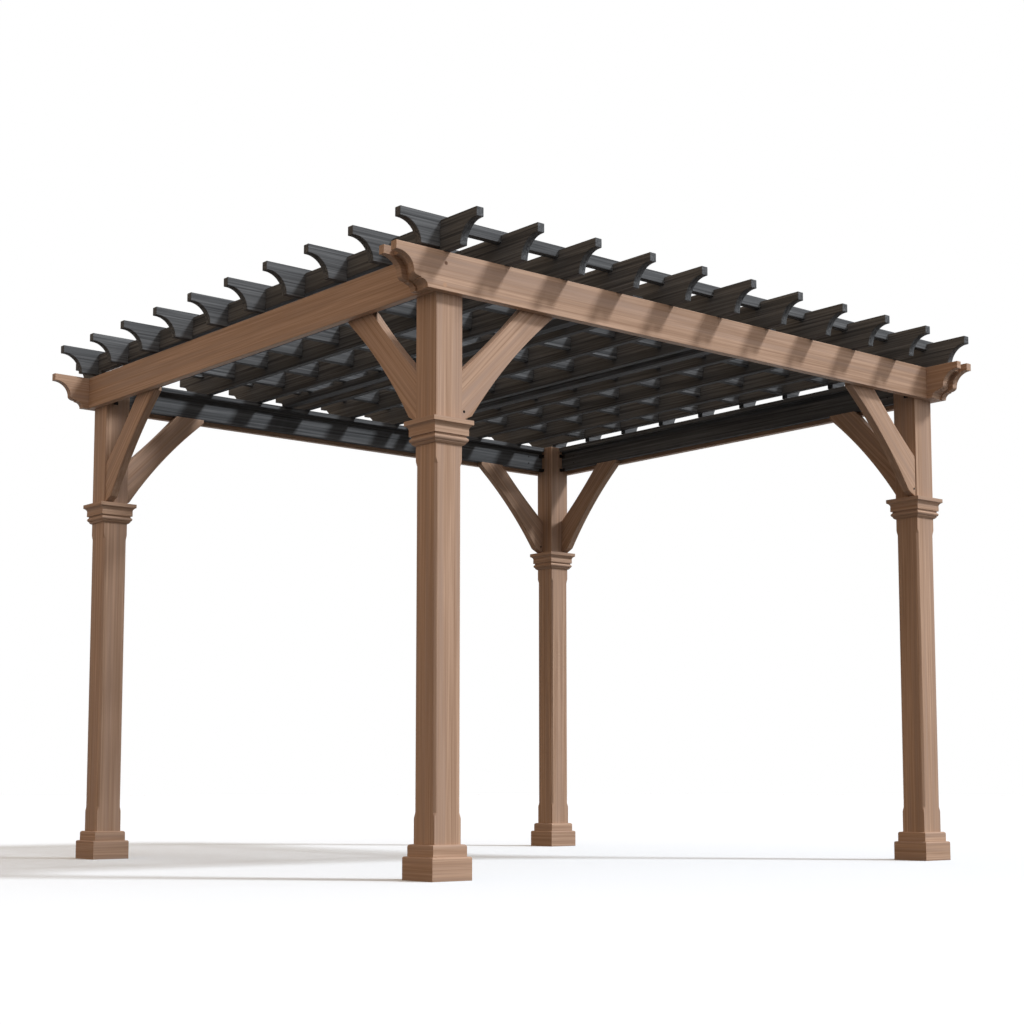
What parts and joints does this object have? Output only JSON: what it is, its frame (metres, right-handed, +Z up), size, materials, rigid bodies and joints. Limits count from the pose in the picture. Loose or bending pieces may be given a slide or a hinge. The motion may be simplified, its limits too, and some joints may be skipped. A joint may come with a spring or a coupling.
{
  "type": "wooden pergola",
  "caption": "Open garden pergola: stained square posts, scroll-ended beams and waisted knee braces carry a dark half-lapped rafter grid with coved tails.",
  "frame": {"origin": "on the ground, under the middle of the overall outline", "axes": "+X along the front beam, -Y towards the front, +Z up"},
  "size_m": [3.811, 3.61, 2.783],
  "materials": {
    "cedar_stain": "satin tan stain, straight grain",
    "charcoal_stain": "matt charcoal stain, fine grain"
  },
  "bodies": {
    "root": {"cross_rafter_01": "charcoal_stain", "cross_rafter_02": "charcoal_stain", "cross_rafter_03": "charcoal_stain", "cross_rafter_04": "charcoal_stain", "cross_rafter_05": "charcoal_stain", "cross_rafter_06": "charcoal_stain", "cross_rafter_07": "charcoal_stain", "cross_rafter_08": "charcoal_stain", "cross_rafter_09": "charcoal_stain", "cross_rafter_10": "charcoal_stain", "front_inner_beam": "charcoal_stain", "front_left_braces": "cedar_stain", "front_left_post": "cedar_stain", "front_outer_beam": "cedar_stain", "front_right_braces": "cedar_stain", "front_right_post": "cedar_stain", "ledger_strips": "charcoal_stain", "left_inner_beam": "charcoal_stain", "left_outer_beam": "cedar_stain", "main_rafter_01": "charcoal_stain", "main_rafter_02": "charcoal_stain", "main_rafter_03": "charcoal_stain", "main_rafter_04": "charcoal_stain", "main_rafter_05": "charcoal_stain", "main_rafter_06": "charcoal_stain", "main_rafter_07": "charcoal_stain", "main_rafter_08": "charcoal_stain", "main_rafter_09": "charcoal_stain", "main_rafter_10": "charcoal_stain", "main_rafter_11": "charcoal_stain", "post_collars": "cedar_stain", "post_plinths": "cedar_stain", "rear_inner_beam": "charcoal_stain", "rear_left_braces": "cedar_stain", "rear_left_post": "cedar_stain", "rear_outer_beam": "cedar_stain", "rear_right_braces": "cedar_stain", "rear_right_post": "cedar_stain", "right_inner_beam": "charcoal_stain", "right_outer_beam": "cedar_stain", "scroll_cheeks": "cedar_stain", "scroll_spacers": "cedar_stain", "support_rails": "charcoal_stain"}
  },
  "joints": []
}
